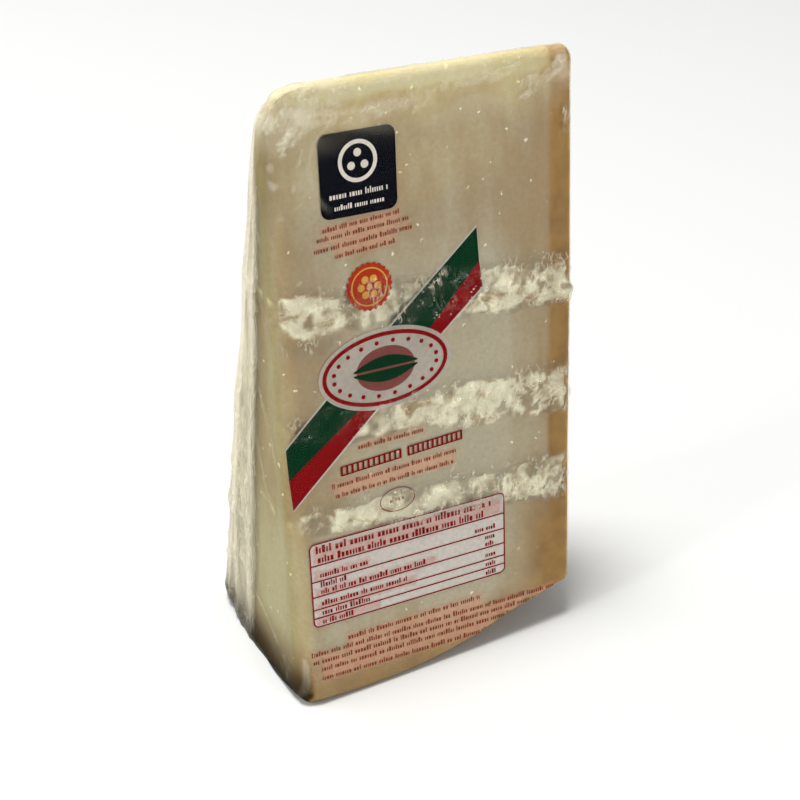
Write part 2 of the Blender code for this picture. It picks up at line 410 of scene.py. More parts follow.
def paleShare(point, flatZ, tornHere):  # how white the crumbs are, band by band and along each band
    nearest = min(range(len(bands["rows"])), key=lambda row: abs(flatZ - bands["rows"][row][0]))
    spots = cheeseLook["paleAlong"][nearest]
    strength = spots[-1][1]
    for (startX, startShare), (endX, endShare) in zip(spots, spots[1:]):
        if startX <= point.x < endX:
            strength = startShare + (endShare - startShare) * (point.x - startX) / (endX - startX)
    across = (point.x + halfWidth) / wedge["width"]
    even = bands["leftStrength"] + (1 - bands["leftStrength"]) * across
    patch = 0.8 + 1.3 * ripple(point, 11, 9.0) + 0.9 * ripple(point, 4, 2.2)
    patch += smooth(18, 42, point.x) * (2.2 * ripple(point, 2.4, 7.1) - 0.1)
    return smooth(0.25, 0.55, tornHere / even * strength * patch)


def agedHardCheese():  # wire-cut aged cheese: dense, waxy, a little translucent, and matt where it is torn
    look = cheeseLook
    material, tree, place = newMaterial("agedHardCheese")
    tornShare, rind, edge, fresh, side = [
        addNode(tree, "Attribute", attribute_name=name).outputs["Fac"]
        for name in ("tornShare", "rindShare", "paintedGlowShare", "freshShare", "shadedSideShare")
    ]
    upright = addNode(tree, "Mapping", {"Scale": (1, 1, 0.22)}, {"Vector": place})
    mottle = addNode(tree, "TexNoise", {"Scale": perMetre(look["mottle"]), "Detail": 3, "Roughness": 0.55},
                     {"Vector": upright})
    pasteShare = addNode(tree, "Math", {1: 0.34}, {0: fresh, 2: mottle}, operation="MULTIPLY_ADD")
    paste = addNode(tree, "ValToRGB", links={"Fac": pasteShare},
                    stops=((0.46, look["pasteDeep"]), (0.78, look["paste"])))
    grain = addNode(tree, "TexNoise", {"Scale": perMetre(look["grain"]), "Detail": 4, "Roughness": 0.7},
                    {"Vector": place})
    grainTone = addNode(tree, "ValToRGB", links={"Fac": grain}, stops=((0.3, "#eeebe4"), (0.7, "#ffffff")))
    grained = addNode(tree, "Mix", {"Factor": 1.0}, {"A": paste, "B": grainTone},
                      data_type="RGBA", blend_type="MULTIPLY")
    wobble = addNode(tree, "TexNoise", {"Scale": perMetre(look["wobbleSize"]), "Detail": 1},
                     {"Vector": place})
    wobbled = addNode(tree, "VectorMath", {1: [look["wobbleReach"] * mm] * 3},
                      {0: wobble.outputs["Color"], 2: place}, operation="MULTIPLY_ADD")
    specks = addNode(tree, "TexVoronoi", {"Scale": perMetre(look["crystalSpacing"])}, {"Vector": wobbled})
    speckShare = addNode(tree, "MapRange", {"From Min": 0.05, "From Max": 0.11, "To Min": 0.8, "To Max": 0.0},
                         {"Value": specks})
    speckled = addNode(tree, "Mix", {"B": linear(look["crystal"])}, {"Factor": speckShare, "A": grained},
                       data_type="RGBA")
    lumps = addNode(tree, "TexNoise", {"Scale": perMetre(look["lumpSize"]), "Detail": 4, "Roughness": 0.6,
                                       "Distortion": 0.6}, {"Vector": place})
    tornTone = addNode(tree, "ValToRGB", links={"Fac": lumps},
                       stops=((0.35, look["tornDeep"]), (0.5, look["tornPale"])))
    cut = addNode(tree, "Mix", links={"Factor": tornShare, "A": speckled, "B": tornTone}, data_type="RGBA")
    rindNoise = addNode(tree, "TexNoise", {"Scale": perMetre(look["rindPatch"]), "Detail": 6,
                                           "Roughness": 0.6}, {"Vector": place})
    rindTone = addNode(tree, "ValToRGB", links={"Fac": rindNoise},
                       stops=((0.35, look["rindDark"]), (0.6, look["rind"])))
    aged = addNode(tree, "Mix", links={"Factor": rind, "A": cut, "B": rindTone}, data_type="RGBA")
    # painted shade: the left face's colour tinted olive-yellow
    sided = addNode(tree, "Mix", {"B": look["shadedSideTint"]}, {"Factor": side, "A": aged},
                    data_type="RGBA", blend_type="MULTIPLY")
    # painted glow and highlight: the colour lifted at the tip, the upper left, the corners and the right edge
    colour = addNode(tree, "Mix", {"B": look["paintedGlowLift"]}, {"Factor": edge, "A": sided},
                     data_type="RGBA", blend_type="MULTIPLY")
    crumb = addNode(tree, "TexNoise", {"Scale": perMetre(look["crumbSize"]), "Detail": 4, "Roughness": 0.65},
                    {"Vector": place})
    pitted = addNode(tree, "Math", links={0: rindNoise, 1: rind}, operation="MULTIPLY")
    crumbHeight = addNode(tree, "Math", operation="MULTIPLY_ADD", links={0: crumb, 1: tornShare, 2: pitted})
    fine = addNode(tree, "Bump", {"Strength": 0.3, "Distance": look["grainDepth"] * mm}, {"Height": grain})
    bump = addNode(tree, "Bump", {"Strength": 1.0, "Distance": look["crumbDepth"] * mm},
                   {"Height": crumbHeight, "Normal": fine})
    shader = addNode(tree, "BsdfPrincipled", {
        "Roughness": look["roughness"], "IOR": look["ior"], "Subsurface Weight": look["glow"],
        "Subsurface Radius": (1.0, 0.6, 0.3), "Subsurface Scale": look["glowDepth"] * mm,
    }, {"Base Color": colour, "Normal": bump})
    addNode(tree, "OutputMaterial", links={"Surface": shader})
    return material


def makeCheese():
    look = cheeseLook
    mesh, flatZ = fineBlock()
    names = ("tornShare", "rindShare", "paintedGlowShare", "freshShare", "shadedSideShare")
    tornLayer, rindLayer, paintedGlowLayer, freshLayer, shadedSideLayer = newLayers(mesh, names)
    moves = []
    for vertex in mesh.verts:
        point, normal = vertex.co, vertex.normal.copy()
        height, tornHere, onCut, _ = sharedRelief(point, normal, vertex[flatZ])
        height -= look["gap"]
        pale = 0.0
        if tornHere > 0:
            crumbs = chunks(point, look["chunkSize"])
            grit = look["gritDepth"] * (0.5 - ripple(point, look["gritSize"], 5.0))
            height -= (look["chunkDepth"] * (1 - crumbs) + grit) * smooth(0, 0.5, tornHere)
            # the crumbs' white is weaker in the cracks between them: painted shade in the cracks
            pale = paleShare(point, vertex[flatZ], tornHere) * (0.72 + 0.28 * crumbs)
            pale *= 1 - 0.15 * rindShare(point)
        marks = ripple((point.x / look["cutMarkLength"], point.y, point.z), look["cutMarkSize"], 8.0)
        height += look["cutMark"] * (marks - 1) * onCut
        vertex[tornLayer] = pale
        vertex[rindLayer] = rindShare(point) * (1 - 0.9 * tornHere * onCut)
        vertex[shadedSideLayer] = smooth(0.8, 0.97, -normal.x)
        vertex[freshLayer] = freshShare(point)
        vertex[paintedGlowLayer] = paintedGlowShare(point, normal, vertex[flatZ]) * (1 - pale)
        moves.append(normal * height + Vector((-look["lipFill"] * lipReach(point, normal), 0, 0)))
    for vertex, move in zip(mesh.verts, moves):
        vertex.co += move
    keepInside(mesh, 0.4)
    cheese = addPiece("cheese", mesh, agedHardCheese())
    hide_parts("sealed_wedge")
    print("cheese is cut,", len(cheese.data.polygons), "faces")


# The bag
bag = {
    "puckerHeight": 0.5, "puckerSize": 9,
    "foldPlace": 0.2, "foldHeight": 0.8, "foldFade": 170, "foldTop": 200, "backFold": -22,
    "foldWander": 0.9, "foldEdge": 0.6, "foldRim": 1.4, "foldMilk": 0.56, "backMilk": 0.13,
    "lipReach": 3.0, "lipHeight": 9, "footShade": 27, "footDark": 0.8, "buckleHeight": 0.7,
    "crinkle": 0.7, "crinkleSize": 7, "microSize": 2.8, "microHeight": 1.6,
    # The shade colour below darkens what shows through the film as painted shade
    "roughness": 0.1, "ior": 1.45, "tint": "#fdfcf7", "haze": "#f6edd0", "shade": "#51492f",
    "calmSheen": 0.07, "looseSheen": 0.85, "mostSheen": 0.45,
    # How milky the film is where it lies calm, over the torn bands and in the slack band along the top
    "calmMilk": 0.003, "tornMilk": 0.015, "topBand": (188, 206), "topMilk": 0.2, "cornerMilk": 0.2,
    "leftTopMilk": 0.28,
    # Painted glints: white strokes along the crinkles, with their size, width, gaps and whiteness
    "creaseSize": 3.0, "creaseWidth": 0.11, "creaseGaps": 5.0, "glintStrokeMilk": 0.52,
    "badgeRing": ((-23.5, 186), 16.4, 0.18), "ringWidth": 0.7,  # centre, radius and height
    # Milky and loose patches on the front: (x, z), radii, turn in degrees, milkiness, looseness
    "patches": (
        ((-46.1, 197), (2.4, 5.6), -30, 0.6, 0.6), ((-42.5, 190.2), (1.1, 2.8), -25, 0.35, 0.5),
        ((-51.6, 189), (1.2, 1.7), 0, 0.3, 0.5), ((-51.1, 183.1), (2.1, 1.3), -20, 0.35, 0.5),
        ((-45, 182.1), (0.9, 1.6), 0, 0.3, 0.5), ((-44.9, 152.3), (1.2, 1), 20, 0.3, 0.5),
        ((-40, 203.5), (15, 6), 8, 0.4, 0.4), ((-14, 202), (17, 4), 2, 0.33, 0.3),
        ((17, 205.5), (14, 1.8), 2, 0.35, 0.5), ((42, 203), (9, 3.4), 5, 0.25, 0.8),
        ((-41, 131), (12, 4.2), -3, 0, 0.9), ((37, 47), (5, 6), 0, 0, 0.25),
        ((-18, 66.5), (16, 2.5), 3, 0, 0.5), ((8, 76), (14, 2.4), 4, 0.05, 0.6),
        ((49, 207), (4, 2.2), -10, 0.4, 1), ((37, 199), (5.5, 1.4), 12, 0.2, 0.9),
        ((28, 208), (9, 1.2), 3, 0.3, 0.8), ((50.5, 190), (1.6, 8), 0, 0.05, 0.7),
    ),
    # Creases on the left side, as (y, z) from and to, height and half width
    "sideCreases": (
        ((2, 112), (-16, 84), 0.5, 0.8), ((4, 92), (-20, 40), 0.45, 1), ((8, 46), (-19, 66), 0.4, 0.8),
        ((8, 24), (-24, 7), 0.5, 0.9), ((2, 150), (-7, 128), 0.3, 0.7), ((14, 60), (9, 20), 0.5, 0.9),
        ((24, 70), (12, 10), 0.45, 0.9), ((18, 118), (9, 62), 0.4, 0.8),
        ((-18, 15), (-24, 1), 0.7, 0.7), ((-22, 14), (-27, 2), 0.6, 0.5), ((-8, 22), (-20, 2), 0.4, 0.7),
    ),
    # Creases on the right side, as (y, z)
    "rightCreases": (
        ((-18, 60), (10, 92), 0.35, 0.8), ((20, 30), (-4, 48), 0.4, 0.9), ((-28, 16), (6, 24), 0.35, 0.8),
        ((9, 120), (-6, 150), 0.3, 0.7), ((4, 168), (-3, 196), 0.3, 0.6), ((26, 14), (16, 74), 0.4, 0.8),
        ((-12, 98), (-2, 128), 0.3, 0.7),
    ),
    # Creases on the front, as (x, z)
    "frontCreases": (
        ((-51, 172), (-38, 181), 0.22, 0.6), ((-46, 168), (-39, 168.5), 0.16, 0.5),
        ((-52.6, 2), (-51.4, 18), 0.9, 0.8), ((-40, 60), (20, 63.5), 0.2, 0.5),
        ((-50, 112), (-42, 108), 0.12, 0.5), ((30, 196), (50, 206), 0.3, 0.8),
    ),
}


def lineRidge(place, lines):  # height of the creases at a place on a face
    most = 0.0
    for start, end, height, width in lines:
        run = (end[0] - start[0], end[1] - start[1])
        length = run[0] ** 2 + run[1] ** 2
        share = ((place[0] - start[0]) * run[0] + (place[1] - start[1]) * run[1]) / length
        if -0.1 < share < 1.1:
            bent = width * 1.2 * math.sin(math.pi * share)
            away = ((place[0] - start[0]) * run[1] - (place[1] - start[1]) * run[0]) / math.sqrt(length)
            fade = smooth(-0.1, 0.12, share) * (1 - smooth(0.85, 1.1, share))
            most = max(most, height * fade * math.exp(-(((away - bent) / width) ** 2)))
    return most


def patchAt(place, lines):  # milkiness and looseness of the patches at a place on the front
    most = [0.0, 0.0]
    for centre, radii, turn, *amounts in lines:
        away = Matrix.Rotation(-math.radians(turn), 2) @ Vector((place[0] - centre[0], place[1] - centre[1]))
        reach = math.hypot(away.x / radii[0], away.y / radii[1])
        if reach < 1.5:
            spot = (place[0], 0, place[1])
            ragged = 0.6 * ripple(spot, 2.6, 6.1) + 0.35 * ripple(spot, 1.1, 2.1)
            share = 1 - smooth(0.3, 1.15, reach + ragged)
            most = [max(most[i], amounts[i] * share) for i in (0, 1)]
    return most


def clearBarrierFilm():  # polyamide and polythene film drawn tight by vacuum: glossy, milky where it is slack, with painted glints as white strokes along its crinkles and painted shade in what shows through
    material, tree, place = newMaterial("clearBarrierFilm")
    haze, crumple, shade = [addNode(tree, "Attribute", attribute_name=name).outputs["Fac"]
                            for name in ("haze", "crumple", "shade")]
    stretch = addNode(tree, "Mapping", {"Rotation": (0, 0.45, 0), "Scale": (2.0, 2.0, 0.65)},
                      {"Vector": place})
    micro = addNode(tree, "TexNoise", {"Scale": perMetre(bag["microSize"]), "Detail": 1.5, "Distortion": 0.9},
                    {"Vector": stretch})
    microHeight = addNode(tree, "Math", links={0: micro, 1: crumple}, operation="MULTIPLY")
    bump = addNode(tree, "Bump", {"Strength": 1.0, "Distance": bag["microHeight"] * mm},
                   {"Height": microHeight})
    # painted glints: thin white crease strokes, broken into pieces, where the film is crumpled
    wave = addNode(tree, "TexNoise", {"Scale": perMetre(bag["creaseSize"]), "Detail": 0.5, "Distortion": 0.7},
                   {"Vector": stretch})
    middle = addNode(tree, "Math", {1: 0.5}, {0: wave}, operation="SUBTRACT")
    away = addNode(tree, "Math", links={0: middle}, operation="ABSOLUTE")
    glintStroke = addNode(tree, "MapRange", {"From Max": bag["creaseWidth"], "To Min": bag["glintStrokeMilk"],
                                        "To Max": 0.0}, {"Value": away})
    gaps = addNode(tree, "TexNoise", {"Scale": perMetre(bag["creaseGaps"]), "Detail": 2}, {"Vector": place})
    kept = addNode(tree, "MapRange", {"From Min": 0.5, "From Max": 0.58}, {"Value": gaps})
    slack = addNode(tree, "MapRange", {"From Min": 0.1, "From Max": 0.7}, {"Value": crumple})
    broken = addNode(tree, "Math", links={0: glintStroke, 1: kept}, operation="MULTIPLY")
    paintedGlints = addNode(tree, "Math", links={0: broken, 1: slack}, operation="MULTIPLY")
    # the film's milkiness and the painted glints share one white diffuse layer
    milkiness = addNode(tree, "Math", links={0: haze, 1: paintedGlints}, operation="MAXIMUM")
    fresnel = addNode(tree, "Fresnel", {"IOR": bag["ior"]}, {"Normal": bump})
    sheen = addNode(tree, "MapRange", {"To Min": bag["calmSheen"], "To Max": bag["looseSheen"]},
                    {"Value": crumple})
    wet = addNode(tree, "Math", links={0: fresnel, 1: sheen}, operation="MULTIPLY")
    mirror = addNode(tree, "Math", {1: bag["mostSheen"]}, {0: wet}, operation="MINIMUM")
    # painted shade: what shows through the film is tinted dark where the shade attribute is set
    through = addNode(tree, "Mix", {"A": linear(bag["tint"]), "B": linear(bag["shade"])}, {"Factor": shade},
                      data_type="RGBA")
    clear = addNode(tree, "BsdfTransparent", links={"Color": through})
    gloss = addNode(tree, "BsdfGlossy", {"Roughness": bag["roughness"]}, {"Normal": bump})
    glossy = addNode(tree, "MixShader", links={0: mirror, 1: clear, 2: gloss})
    milk = addNode(tree, "BsdfDiffuse", {"Color": linear(bag["haze"])}, {"Normal": bump})
    mixed = addNode(tree, "MixShader", links={0: milkiness, 1: glossy, 2: milk})
    addNode(tree, "OutputMaterial", links={"Surface": mixed})
    return material


def lipReach(point, normal):  # how far the loose lip stands out along the left foot
    if normal.x > -0.3:
        return 0.0
    along = max(0.0, 1 - (2 * point.y / wedge["baseDepth"]) ** 2)
    return bag["lipReach"] * along * (1 - smooth(0, bag["lipHeight"], point.z + wedge["rindSag"] * along))


def inkShare(x, z):  # 1 under the ribbon's thick ink, which stiffens the film
    near, far = ribbon["stiffReach"]
    for (startX, startZ), (endX, endZ) in zip(ribbon["split"], ribbon["split"][1:]):
        if endX <= x <= startX:
            middle = startZ + (endZ - startZ) * (x - startX) / (endX - startX)
            return 1 - smooth(near, far, abs(z - middle))
    return 0.0


# Each of the next four gives height, milkiness, crumpling and shade of the film on one side
def frontFilm(point):
    x, _, z = point
    (ringX, ringZ), radius, ringHeight = bag["badgeRing"]
    away = math.hypot(x - ringX, z - ringZ) - radius
    side = smooth(-6, 6, (z - ringZ) - (x - ringX))
    ridge = lineRidge((x, z), bag["frontCreases"]) * smooth(-0.2, 0.25, ripple(point, 7, 8.8))
    ridge = max(ringHeight * side * math.exp(-((away / bag["ringWidth"]) ** 2)), ridge)
    return ridge, min(0.3, 0.9 * ridge), 0.0, 0.0


def leftFilm(point):  # doubled film behind the fold, single film in front of it
    x, y, z = point
    edge = bag["foldPlace"] * halfDepth(z) + bag["foldWander"] * ripple((0, 0, z), 13, 5.5)
    fold = 1 - smooth(bag["foldFade"], bag["foldTop"], z)
    onFold = smooth(edge - bag["foldEdge"], edge + bag["foldEdge"], y)
    rim = math.exp(-(((y - edge) / bag["foldRim"]) ** 2)) * fold
    low = 1 - smooth(60, 120, z)
    buckle = max(0.0, crest((x, y, z * 0.45), 8.5, 2.3)) ** 2 * onFold * low
    ridge = lineRidge((y, z), bag["sideCreases"]) * smooth(-0.15, 0.25, ripple(point, 9, 8.8))
    height = fold * bag["foldHeight"] * onFold + bag["buckleHeight"] * buckle + ridge
    height += bag["puckerHeight"] * ripple((x, y, z / 2.5), bag["puckerSize"])
    streak = 1 + 0.6 * ripple((x, y * 1.5, z / 7), 6, 7.7) + 0.4 * ripple((x, y * 2, z / 9), 4, 1.1)
    haze = 0.35 * ridge + onFold * fold * (bag["foldMilk"] * streak + 0.15 * buckle) + 0.15 * rim
    crumple = 0.16 + (0.35 + 0.45 * low) * onFold * fold + 0.8 * rim
    # painted shadow beside the fold edge, and painted shade in the low crumpled fold
    shade = 0.12 * smooth(50, 95, z) * math.exp(-(((y - edge + 3.5) / 3.5) ** 2))
    shade += 0.15 * onFold * low * smooth(0.05, 0.4, ripple((x, y, z * 0.3), 12, 3.9))
    return height, haze, crumple, shade


def rightFilm(point, normal):
    ridge = lineRidge((point.y, point.z), bag["rightCreases"])
    ridge *= smooth(-0.15, 0.25, ripple(point, 9, 8.8))
    crumple = 0.14 + 0.3 * smooth(0.1, 0.4, ripple(point, 15, 2.9))
    return ridge * smooth(0.5, 0.9, normal.x), 0.4 * ridge, crumple, 0.0


def backFilm(point, onCut):  # the fold's other flap, laid round on to the back
    x, y, z = point
    edge = bag["backFold"] + 1.5 * ripple((0, 0, z), 19, 6.6)
    fold = onCut * (1 - smooth(bag["foldFade"], bag["foldTop"], z))
    onFold = fold * smooth(0, 2.75, edge - x)
    rim = fold * math.exp(-(((edge - x - 0.8) / 1.1) ** 2))
    streak = 1 + 0.9 * ripple((x * 1.4, y, z / 7), 6, 4.1) + 0.4 * ripple((x * 2, y, z / 9), 4, 1.1)
    haze = bag["backMilk"] * onFold * streak + 0.16 * rim * smooth(-0.2, 0.3, ripple(point, 6, 5.1))
    return bag["foldHeight"] * onFold, haze, 0.05 + 0.3 * onFold + 0.4 * rim, 0.0


def filmAt(point, normal, flatZ):  # height over the block, lip, milkiness, crumpling and shade at a point
    height, tornHere, onCut, onLeft = sharedRelief(point, normal, flatZ)
    x, y, z = point
    onFront = smooth(0.2, 0.5, -normal.y)
    above = torn(x, flatZ - 3.5) * onCut
    topBand = smooth(*bag["topBand"], z)
    corner = topBand * smooth(-20, -42, x) + 0.8 * topBand * smooth(30, 46, x)
    patchHaze, patchLoose = patchAt((x, z), bag["patches"]) if onFront > 0 else (0.0, 0.0)
    loose = max(tornHere, 0.9 * above, 0.3 * topBand, 0.5 * corner, 0.12 * onLeft, patchLoose * onFront)
    loose = min(1.0, loose) * (1 - 0.8 * smooth(0.1, 0.45, normal.x)) * (1 - 0.75 * onFront * inkShare(x, z))
    crinkle = max(0.0, crest((x, y * 1.3, z * 0.7), bag["crinkleSize"], 4.0))
    height += loose * bag["crinkle"] * crinkle ** 2
    slackHere = min(1, 0.5 * tornHere + above) * smooth(0, 0.3, ripple(point, 5, 1.2))
    haze = bag["calmMilk"] + bag["tornMilk"] * slackHere
    haze += topBand * (0.05 + bag["topMilk"] * smooth(-0.1, 0.35, ripple((x * 0.35, y, z), 7, 2.6)))
    haze = max(haze, patchHaze * onFront)
    haze += corner * bag["cornerMilk"] * smooth(-0.2, 0.3, ripple(point, 6, 3.3))
    haze += bag["leftTopMilk"] * topBand * smooth(-36, -52, x)
    crumple = 0.03 + 0.9 * loose
    shade = 0.0
    sides = []
    if onFront > 0:
        sides.append((onFront, frontFilm(point)))
    if onLeft > 0:
        sides.append((onLeft, leftFilm(point)))
    if normal.x > 0.5:
        sides.append((1, rightFilm(point, normal)))
    if normal.y > 0 and x < bag["backFold"] + 5:
        sides.append((1, backFilm(point, onCut)))
    for share, (sideHeight, sideHaze, sideCrumple, sideShade) in sides:
        height += share * sideHeight
        haze += share * sideHaze
        crumple = max(crumple, share * sideCrumple)
        shade = max(shade, share * sideShade)
    if normal.x < -0.3:  # painted shade along the left foot, where the film is also slack
        along = max(0.0, 1 - (2 * y / wedge["baseDepth"]) ** 2)
        fromFoot = z + wedge["rindSag"] * along + 3 * ripple(point, 11, 3.7)
        slack = (1 - smooth(1, bag["footShade"], fromFoot)) * smooth(0.3, 0.7, -normal.x)
        shade = max(shade, bag["footDark"] * slack)
        crumple *= 1 - 0.6 * slack
        haze *= 1 - 0.9 * slack
    return height, lipReach(point, normal), max(0.0, haze), crumple, shade


def makeFilm():
    mesh, flatZ = fineBlock()
    hazeLayer, crumpleLayer, shadeLayer = newLayers(mesh, ("haze", "crumple", "shade"))
    moves = []
    for vertex in mesh.verts:
        height, lip, haze, crumple, shade = filmAt(vertex.co, vertex.normal, vertex[flatZ])
        vertex[hazeLayer] = haze
        vertex[crumpleLayer] = crumple
        vertex[shadeLayer] = shade
        moves.append(vertex.normal * height + Vector((-lip, 0, 0)))
    for vertex, move in zip(mesh.verts, moves):
        vertex.co += move
    keepInside(mesh, 0.0)
    surface = BVHTree.FromBMesh(mesh)
    film = addPiece("bag_film", mesh, clearBarrierFilm())
    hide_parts("sealed_wedge")
    print("bag is sealed,", len(film.data.polygons), "faces")
    return surface


# The print: places on the front in millimetres, across and up from the rind
inks = {
    "green": "#03321b", "red": "#860b11", "pale": "#e4ddd8", "navy": "#070a16", "orange": "#b5351c",
    "yellow": "#d8a14c", "brown": "#863a2a", "tint": "#f6bfa2", "rose": "#e8b8b2", "field": "#e7e0df",
    "mist": "#c8bfb8",
}
layers = {"top": 0.08, "upper": 0.11, "middle": 0.14, "low": 0.20, "lowest": 0.26}  # depth under the film
inkMottle = 1.5
# How well each thin ink covers, and the width over which its edge fades
covers = {
    "ink_ribbon_outline": (0.65, 0), "ink_emblem_halo": (0.75, 0), "ink_emblem_disc": (0.6, 0),
    "ink_table_field": (0.75, 0), "ink_table_tint": (0.5, 2), "ink_fine_print": (0.85, 0),
    "ink_fine_tint": (0.48, 3.4),
}
# Fine print as ticks: letters in a word, then shares of the row's height or of a tick's width
ticks = {"word": (2, 8), "width": 0.26, "heights": (0.68, 0.68, 0.68, 1), "widths": (0.8, 1, 1.5),
         "gap": 0.7, "space": 1.6}


def flexoInk(name, code, cover, fade):  # flexo ink on film: flat, even and a little thin, finely mottled
    material, tree, place = newMaterial(name)
    mottle = addNode(tree, "TexNoise", {"Scale": perMetre(inkMottle), "Detail": 3}, {"Vector": place})
    tone = addNode(tree, "ValToRGB", links={"Fac": mottle}, stops=((0.3, "#efefef"), (0.65, "#ffffff")))
    colour = addNode(tree, "Mix", {"Factor": 1.0, "B": linear(code)}, {"A": tone},
                     data_type="RGBA", blend_type="MULTIPLY")
    shader = addNode(tree, "BsdfPrincipled", {"Roughness": 0.7, "Specular IOR Level": 0.0, "Alpha": cover},
                     {"Base Color": colour})
    if fade:
        faded = addNode(tree, "Attribute", attribute_name="cover").outputs["Fac"]
        tree.links.new(faded, shader.inputs["Alpha"])
    addNode(tree, "OutputMaterial", links={"Surface": shader})
    return material


def oval(centre, radii, steps=48, scallops=0, scallopDepth=0.0):
    points = []
    for i in range(steps):
        angle = 2 * math.pi * i / steps
        reach = 1 + scallopDepth * math.cos(scallops * angle)
        points.append((centre[0] + radii[0] * reach * math.cos(angle),
                       centre[1] + radii[1] * reach * math.sin(angle)))
    return points


def ring(outer, inner):  # the faces between two closed outlines with as many points
    count = len(outer)
    return [[outer[i], outer[(i + 1) % count], inner[(i + 1) % count], inner[i]] for i in range(count)]


def stroke(start, end, width):  # a straight bar along a line
    run = Vector((end[0] - start[0], end[1] - start[1]))
    side = Vector((-run.y, run.x)).normalized() * width / 2
    return [(start[0] + side.x, start[1] + side.y), (end[0] + side.x, end[1] + side.y),
            (end[0] - side.x, end[1] - side.y), (start[0] - side.x, start[1] - side.y)]


def roundedBox(low, high, radius, steps=6):
    points = []
    corners = ((high[0] - radius, high[1] - radius, 0), (low[0] + radius, high[1] - radius, 90),
               (low[0] + radius, low[1] + radius, 180), (high[0] - radius, low[1] + radius, 270))
    for x, z, turn in corners:
        for i in range(steps + 1):
            angle = math.radians(turn + 90 * i / steps)
            points.append((x + radius * math.cos(angle), z + radius * math.sin(angle)))
    return points


def greeked(start, end, height, seed):  # a row of plain ticks in word-long groups, standing in for fine print
    draw = random.Random(seed)
    length = math.hypot(end[0] - start[0], end[1] - start[1])
    tick = ticks["width"] * height
    faces = []
    along = 0.0
    while along < length - tick:
        for _ in range(draw.randint(*ticks["word"])):
            tall = height * draw.choice(ticks["heights"])
            wide = tick * draw.choice(ticks["widths"])
            if along + wide > length:
                break
            low = tuple(start[k] + (end[k] - start[k]) * along / length for k in (0, 1))
            high = tuple(start[k] + (end[k] - start[k]) * (along + wide) / length for k in (0, 1))
            faces.append([low, high, (high[0], high[1] + tall), (low[0], low[1] + tall)])
            along += wide + ticks["gap"] * tick
        along += ticks["space"] * tick
    return faces


def blockOutline(lines, margin):  # the outline round some rows of fine print
    right = []
    left = []
    for start, end, height in sorted(lines, key=lambda line: -line[0][1]):
        for lift in (height + margin, -margin):
            right.append((end[0] + margin, end[1] + lift))
            left.append((start[0] - margin, start[1] + lift))
    return right + left[::-1]


def fromEdge(place, outlines):  # how far a place is from the nearest outline
    least = math.inf
    for outline in outlines:
        for start, end in zip(outline, outline[1:] + outline[:1]):
            near, share = intersect_point_line(place, start, end)
            near = Vector(start if share < 0 else end if share > 1 else near[:2])
            least = min(least, (near - Vector(place)).length)
    return least


def printInk(name, faces, inkName, layer, surface):  # lays flat shapes under the film
    cover, fade = covers.get(name, (1, 0))
    mesh = bmesh.new()
    coverLayer = mesh.verts.layers.float.new("cover") if fade else None
    for points in faces:
        mesh.faces.new([mesh.verts.new((x, 0, z)) for x, z in points])
    bmesh.ops.triangulate(mesh, faces=mesh.faces)
    for axis in (0, 2):
        low = min(vertex.co[axis] for vertex in mesh.verts)
        high = max(vertex.co[axis] for vertex in mesh.verts)
        for i in range(math.ceil(low / lattice["cell"]), math.floor(high / lattice["cell"]) + 1):
            cutAt, way = Vector(), Vector()
            cutAt[axis], way[axis] = i * lattice["cell"], 1
            parts = mesh.verts[:] + mesh.edges[:] + mesh.faces[:]
            bmesh.ops.bisect_plane(mesh, geom=parts, dist=0.001, plane_co=cutAt, plane_no=way)
    viewer = toFloor.inverted() @ (Vector(studio["cameraPlace"]) * mm)
    beyond = []
    for vertex in mesh.verts:
        if fade:
            vertex[coverLayer] = cover * smooth(0, fade, fromEdge((vertex.co.x, vertex.co.z), faces))
        onPlane = Vector((vertex.co.x, -halfDepth(vertex.co.z), vertex.co.z))
        place, normal, _, _ = surface.ray_cast(viewer, (onPlane - viewer).normalized())
        if place is None:
            beyond.append(vertex)
        else:
            vertex.co = place - normal * layers[layer]
    bmesh.ops.delete(mesh, geom=beyond, context="VERTS")
    bmesh.ops.recalc_face_normals(mesh, faces=mesh.faces)
    addPiece(name, mesh, flexoInk(name + "Flexo", inks[inkName], cover, fade))


# The two-colour ribbon: corners of each half, upper length and lower length
ribbon = {
    "split": ((18.1, 147.2), (-3.2, 125.6), (-24.6, 107.4), (-53.3, 86.8)),
    "greenEdge": ((17.3, 158.7), (-15, 131.3), (-37.7, 112.2), (-53.7, 97.8)),
    "redEdge": ((19.2, 138.5), (1.8, 124), (-21, 104.4), (-52.5, 76.2)),
    "outline": 0.75, "stiffReach": (8, 13),
}
emblem = {
    "centre": (-17, 118), "radii": (22.5, 12.5), "rim": 1.4, "disc": (10.5, 7.6),
    "leaf": (12.5, 4), "vein": 0.8, "dots": 20, "dotsAt": (18.6, 9.2), "dot": 0.75,
}
badge = {
    "low": (-36.5, 170.2), "high": (-10.5, 196.5), "radius": 3,
    "ringAt": (-23.5, 187), "ring": (6.6, 5.3), "dots": 3, "dotsAt": 2.6, "dot": 1.3,
    # Rows of ticks: start, end, height and seed
    "rows": (((-33.5, 176.2), (-13.5, 176.6), 2, 5), ((-32, 172.6), (-15, 173), 1.7, 6)),
}
seal = {
    "centre": (-21.5, 146.4), "radius": 7.8, "scallops": 24, "scallopDepth": 0.04,
    "ring": (6.4, 5.9), "petals": 6, "petalsAt": 2.9, "petal": 1.25, "core": 1,
}
